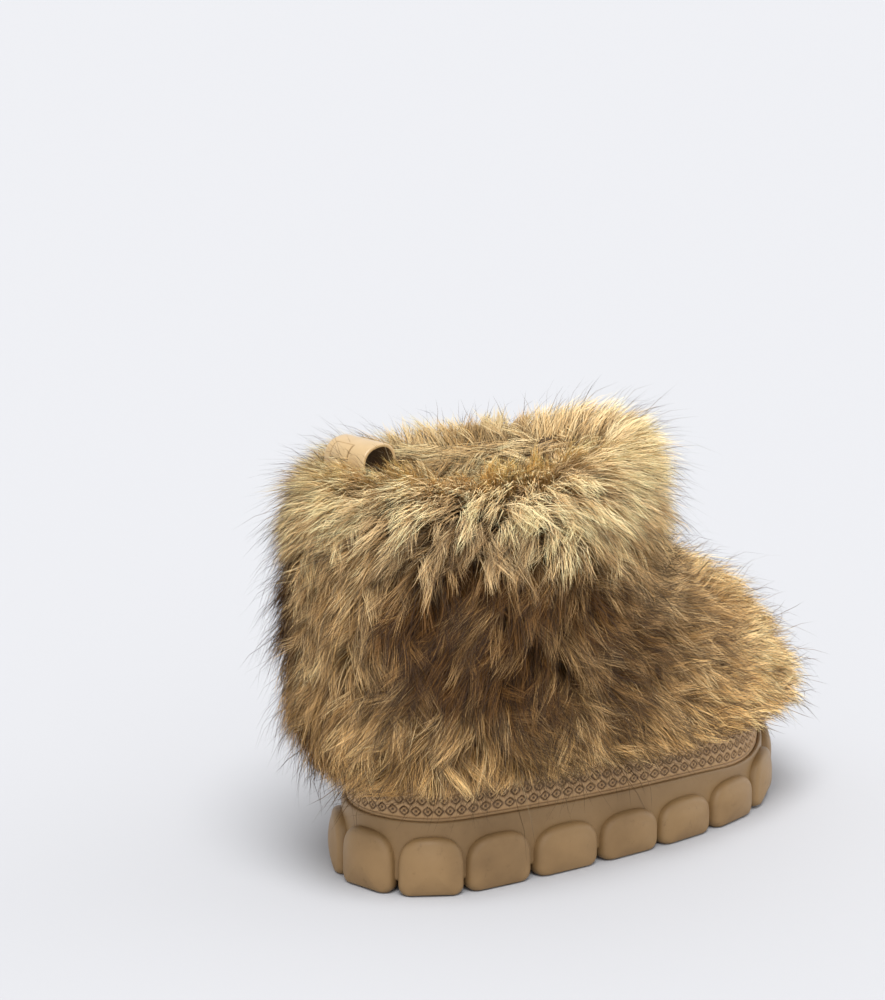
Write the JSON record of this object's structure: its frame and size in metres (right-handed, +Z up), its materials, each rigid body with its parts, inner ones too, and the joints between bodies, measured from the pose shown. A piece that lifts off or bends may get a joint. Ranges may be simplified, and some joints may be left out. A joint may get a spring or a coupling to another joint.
{
  "type": "apres ski boot",
  "caption": "Right-foot apres ski boot: long-pile fur upper, moulded shell, thick outsole with arched edge lugs, insole, and a pull loop at the heel.",
  "frame": {"origin": "on the floor, on the face of the middle tread block, under the middle of the outsole's length", "axes": "+X towards the toe, +Z up, -Y towards the outer side of the right foot"},
  "size_m": [0.3399, 0.1894, 0.2297],
  "materials": {
    "sole rubber": "matt, moulded",
    "shell rubber": "matt, moulded",
    "fleece": "short curled pile",
    "fur": "long pile, golden with dark tips",
    "loop patent": "patent gloss"
  },
  "bodies": {
    "root": {"outsole": "sole rubber", "shell": "shell rubber", "insole": "fleece", "upper": "fur", "pull_loop": "loop patent"}
  },
  "joints": []
}
